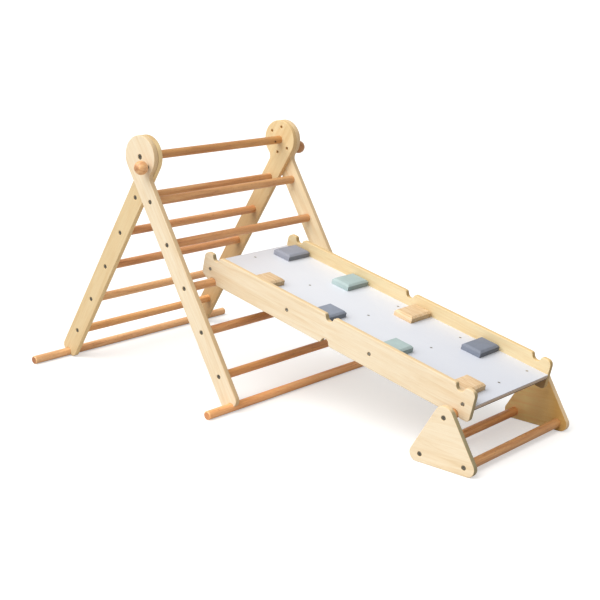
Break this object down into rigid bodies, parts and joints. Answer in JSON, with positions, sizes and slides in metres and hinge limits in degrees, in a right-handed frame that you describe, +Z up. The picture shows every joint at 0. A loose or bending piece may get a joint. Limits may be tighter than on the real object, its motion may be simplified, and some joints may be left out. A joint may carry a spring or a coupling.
{
  "type": "folding climbing triangle",
  "caption": "Wooden folding climbing triangle for small children, with round rungs, index locks at its pivot, and a ramp with blocks hooked on a rung and carried by a small stand.",
  "frame": {"origin": "centre of the footprint box on the floor", "axes": "+X from the rear ladder's foot bar towards the ramp's stand, +Y along the rungs towards the far side, +Z up"},
  "size_m": [1.9328, 1.09, 0.9357],
  "materials": {
    "birch_ply": "clear matt lacquer over birch plywood",
    "beech": "satin lacquered hardwood",
    "zinc_steel": "dull zinc plating",
    "board_ply": "raw plywood",
    "white_laminate": "satin white facing",
    "grey_paint": "matt blue-grey paint on wood",
    "mint_paint": "matt pale mint paint on wood",
    "block_wood": "clear matt lacquer on wood"
  },
  "bodies": {
    "front_ladder": {"front_rail_near": "birch_ply", "front_rail_far": "birch_ply", "front_rung_1": "beech", "front_rung_2": "beech", "front_rung_3": "beech", "front_rung_4": "beech", "front_rung_5": "beech", "front_foot_bar": "beech", "front_rung_screws": "zinc_steel", "front_foot_screws": "zinc_steel"},
    "rear_ladder": {"rear_rail_near": "birch_ply", "rear_rail_far": "birch_ply", "rear_rung_1": "beech", "rear_rung_2": "beech", "rear_rung_3": "beech", "rear_rung_4": "beech", "rear_rung_5": "beech", "rear_foot_bar": "beech", "rear_rung_screws": "zinc_steel", "rear_foot_screws": "zinc_steel", "top_rung": "beech", "pivot_barrel_nuts": "zinc_steel", "pivot_bolts": "zinc_steel", "pivot_washers": "zinc_steel", "pivot_spacers": "zinc_steel"},
    "near_lock": {"near_lock_knob": "beech", "near_lock_pin": "zinc_steel"},
    "far_lock": {"far_lock_knob": "beech", "far_lock_pin": "zinc_steel"},
    "ramp": {"ramp_panel_near": "birch_ply", "ramp_panel_far": "birch_ply", "ramp_board": "board_ply", "ramp_board_face": "white_laminate", "ramp_battens": "birch_ply", "climbing_block_1": "grey_paint", "climbing_block_2": "block_wood", "climbing_block_3": "mint_paint", "climbing_block_4": "grey_paint", "climbing_block_5": "block_wood", "climbing_block_6": "mint_paint", "climbing_block_7": "grey_paint", "climbing_block_8": "block_wood", "ramp_panel_screws": "zinc_steel", "ramp_board_screws": "zinc_steel", "climbing_block_screws": "zinc_steel"},
    "stand": {"stand_plate_near": "birch_ply", "stand_plate_far": "birch_ply", "stand_top_bar": "beech", "stand_front_bar": "beech", "stand_rear_bar": "beech", "stand_screws": "zinc_steel"}
  },
  "joints": [
    {"name": "fold", "type": "hinge", "parent": "front_ladder", "child": "rear_ladder", "pos_m": [-0.47272, 0, 0.85773], "axis": [0, 1, 0], "range_deg": [0, 117.4]},
    {"name": "near_lock_slide", "type": "slide", "parent": "front_ladder", "child": "near_lock", "axis": [0, 1, 0], "range_m": [0, 0.008]},
    {"name": "far_lock_slide", "type": "slide", "parent": "front_ladder", "child": "far_lock", "axis": [0, -1, 0], "range_m": [0, 0.008]},
    {"name": "ramp_tilt", "type": "hinge", "parent": "front_ladder", "child": "ramp", "pos_m": [-0.24335, 0, 0.40734], "axis": [0, -1, 0], "range_deg": [0, 35]},
    {"name": "stand_slide", "type": "slide", "parent": "front_ladder", "child": "stand", "axis": [0, 1, 0], "range_m": [-0.034, 0.034]}
  ]
}
